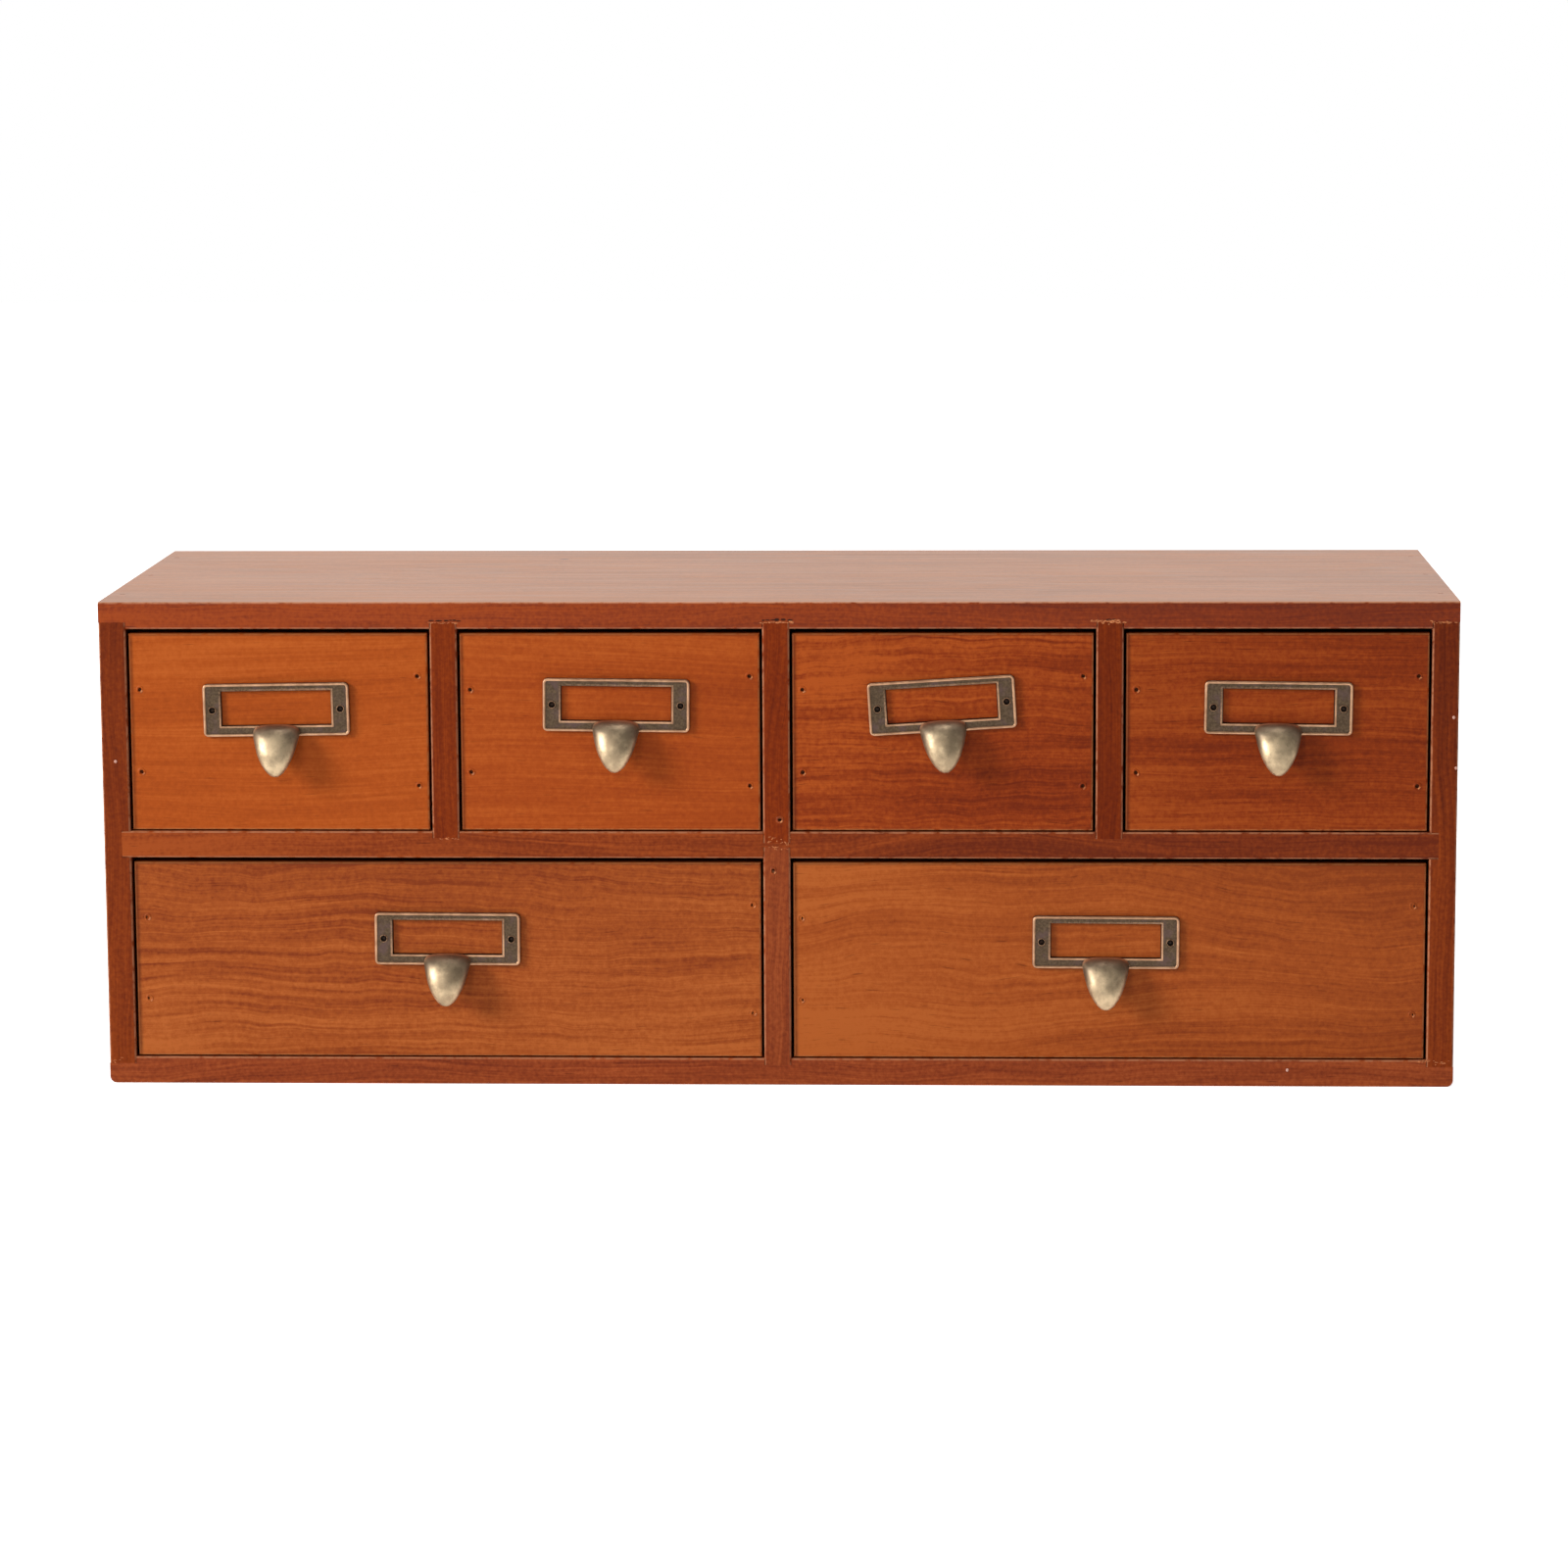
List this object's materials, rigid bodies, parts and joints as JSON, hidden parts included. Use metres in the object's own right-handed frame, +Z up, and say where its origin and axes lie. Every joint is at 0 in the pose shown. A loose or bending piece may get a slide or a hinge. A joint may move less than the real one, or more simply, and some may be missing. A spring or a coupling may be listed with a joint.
{
  "type": "parts cabinet",
  "caption": "Low wooden bench cabinet with small drawers above wide ones, each drawer with a cast brass label holder that has a finger tongue.",
  "frame": {"origin": "centre of the underside, where the cabinet stands", "axes": "+X to the right seen from the front, +Y to the back, +Z up; the drawers slide out along -Y"},
  "size_m": [0.6, 0.2237, 0.217],
  "materials": {
    "case_wood": "dark stained and varnished",
    "front_wood": "warm stained and varnished",
    "inner_wood": "raw planed",
    "panel_wood": "raw thin board",
    "brass": "aged, cast",
    "iron": "dark drawn wire"
  },
  "bodies": {
    "case": {"top_board": "case_wood", "bottom_board": "case_wood", "left_side": "case_wood", "right_side": "case_wood", "middle_shelf": "case_wood", "upper_left_divider": "case_wood", "upper_centre_divider": "case_wood", "upper_right_divider": "case_wood", "lower_divider": "case_wood", "back_panel": "panel_wood", "case_nails": "iron", "back_panel_pins": "iron"},
    "drawer_1": {"drawer_1_front": "front_wood", "drawer_1_left_side": "inner_wood", "drawer_1_right_side": "inner_wood", "drawer_1_back": "inner_wood", "drawer_1_bottom": "inner_wood", "drawer_1_pull": "brass", "drawer_1_pull_pins": "iron", "drawer_1_brads": "iron"},
    "drawer_2": {"drawer_2_front": "front_wood", "drawer_2_left_side": "inner_wood", "drawer_2_right_side": "inner_wood", "drawer_2_back": "inner_wood", "drawer_2_bottom": "inner_wood", "drawer_2_pull": "brass", "drawer_2_pull_pins": "iron", "drawer_2_brads": "iron"},
    "drawer_3": {"drawer_3_front": "front_wood", "drawer_3_left_side": "inner_wood", "drawer_3_right_side": "inner_wood", "drawer_3_back": "inner_wood", "drawer_3_bottom": "inner_wood", "drawer_3_pull": "brass", "drawer_3_pull_pins": "iron", "drawer_3_brads": "iron"},
    "drawer_4": {"drawer_4_front": "front_wood", "drawer_4_left_side": "inner_wood", "drawer_4_right_side": "inner_wood", "drawer_4_back": "inner_wood", "drawer_4_bottom": "inner_wood", "drawer_4_pull": "brass", "drawer_4_pull_pins": "iron", "drawer_4_brads": "iron"},
    "drawer_5": {"drawer_5_front": "front_wood", "drawer_5_left_side": "inner_wood", "drawer_5_right_side": "inner_wood", "drawer_5_back": "inner_wood", "drawer_5_bottom": "inner_wood", "drawer_5_pull": "brass", "drawer_5_pull_pins": "iron", "drawer_5_brads": "iron"},
    "drawer_6": {"drawer_6_front": "front_wood", "drawer_6_left_side": "inner_wood", "drawer_6_right_side": "inner_wood", "drawer_6_back": "inner_wood", "drawer_6_bottom": "inner_wood", "drawer_6_pull": "brass", "drawer_6_pull_pins": "iron", "drawer_6_brads": "iron"}
  },
  "joints": [
    {"name": "drawer_1_slide", "type": "slide", "parent": "case", "child": "drawer_1", "axis": [0, -1, 0], "range_m": [0, 0.15]},
    {"name": "drawer_2_slide", "type": "slide", "parent": "case", "child": "drawer_2", "axis": [0, -1, 0], "range_m": [0, 0.15]},
    {"name": "drawer_3_slide", "type": "slide", "parent": "case", "child": "drawer_3", "axis": [0, -1, 0], "range_m": [0, 0.15]},
    {"name": "drawer_4_slide", "type": "slide", "parent": "case", "child": "drawer_4", "axis": [0, -1, 0], "range_m": [0, 0.15]},
    {"name": "drawer_5_slide", "type": "slide", "parent": "case", "child": "drawer_5", "axis": [0, -1, 0], "range_m": [0, 0.15]},
    {"name": "drawer_6_slide", "type": "slide", "parent": "case", "child": "drawer_6", "axis": [0, -1, 0], "range_m": [0, 0.15]}
  ]
}
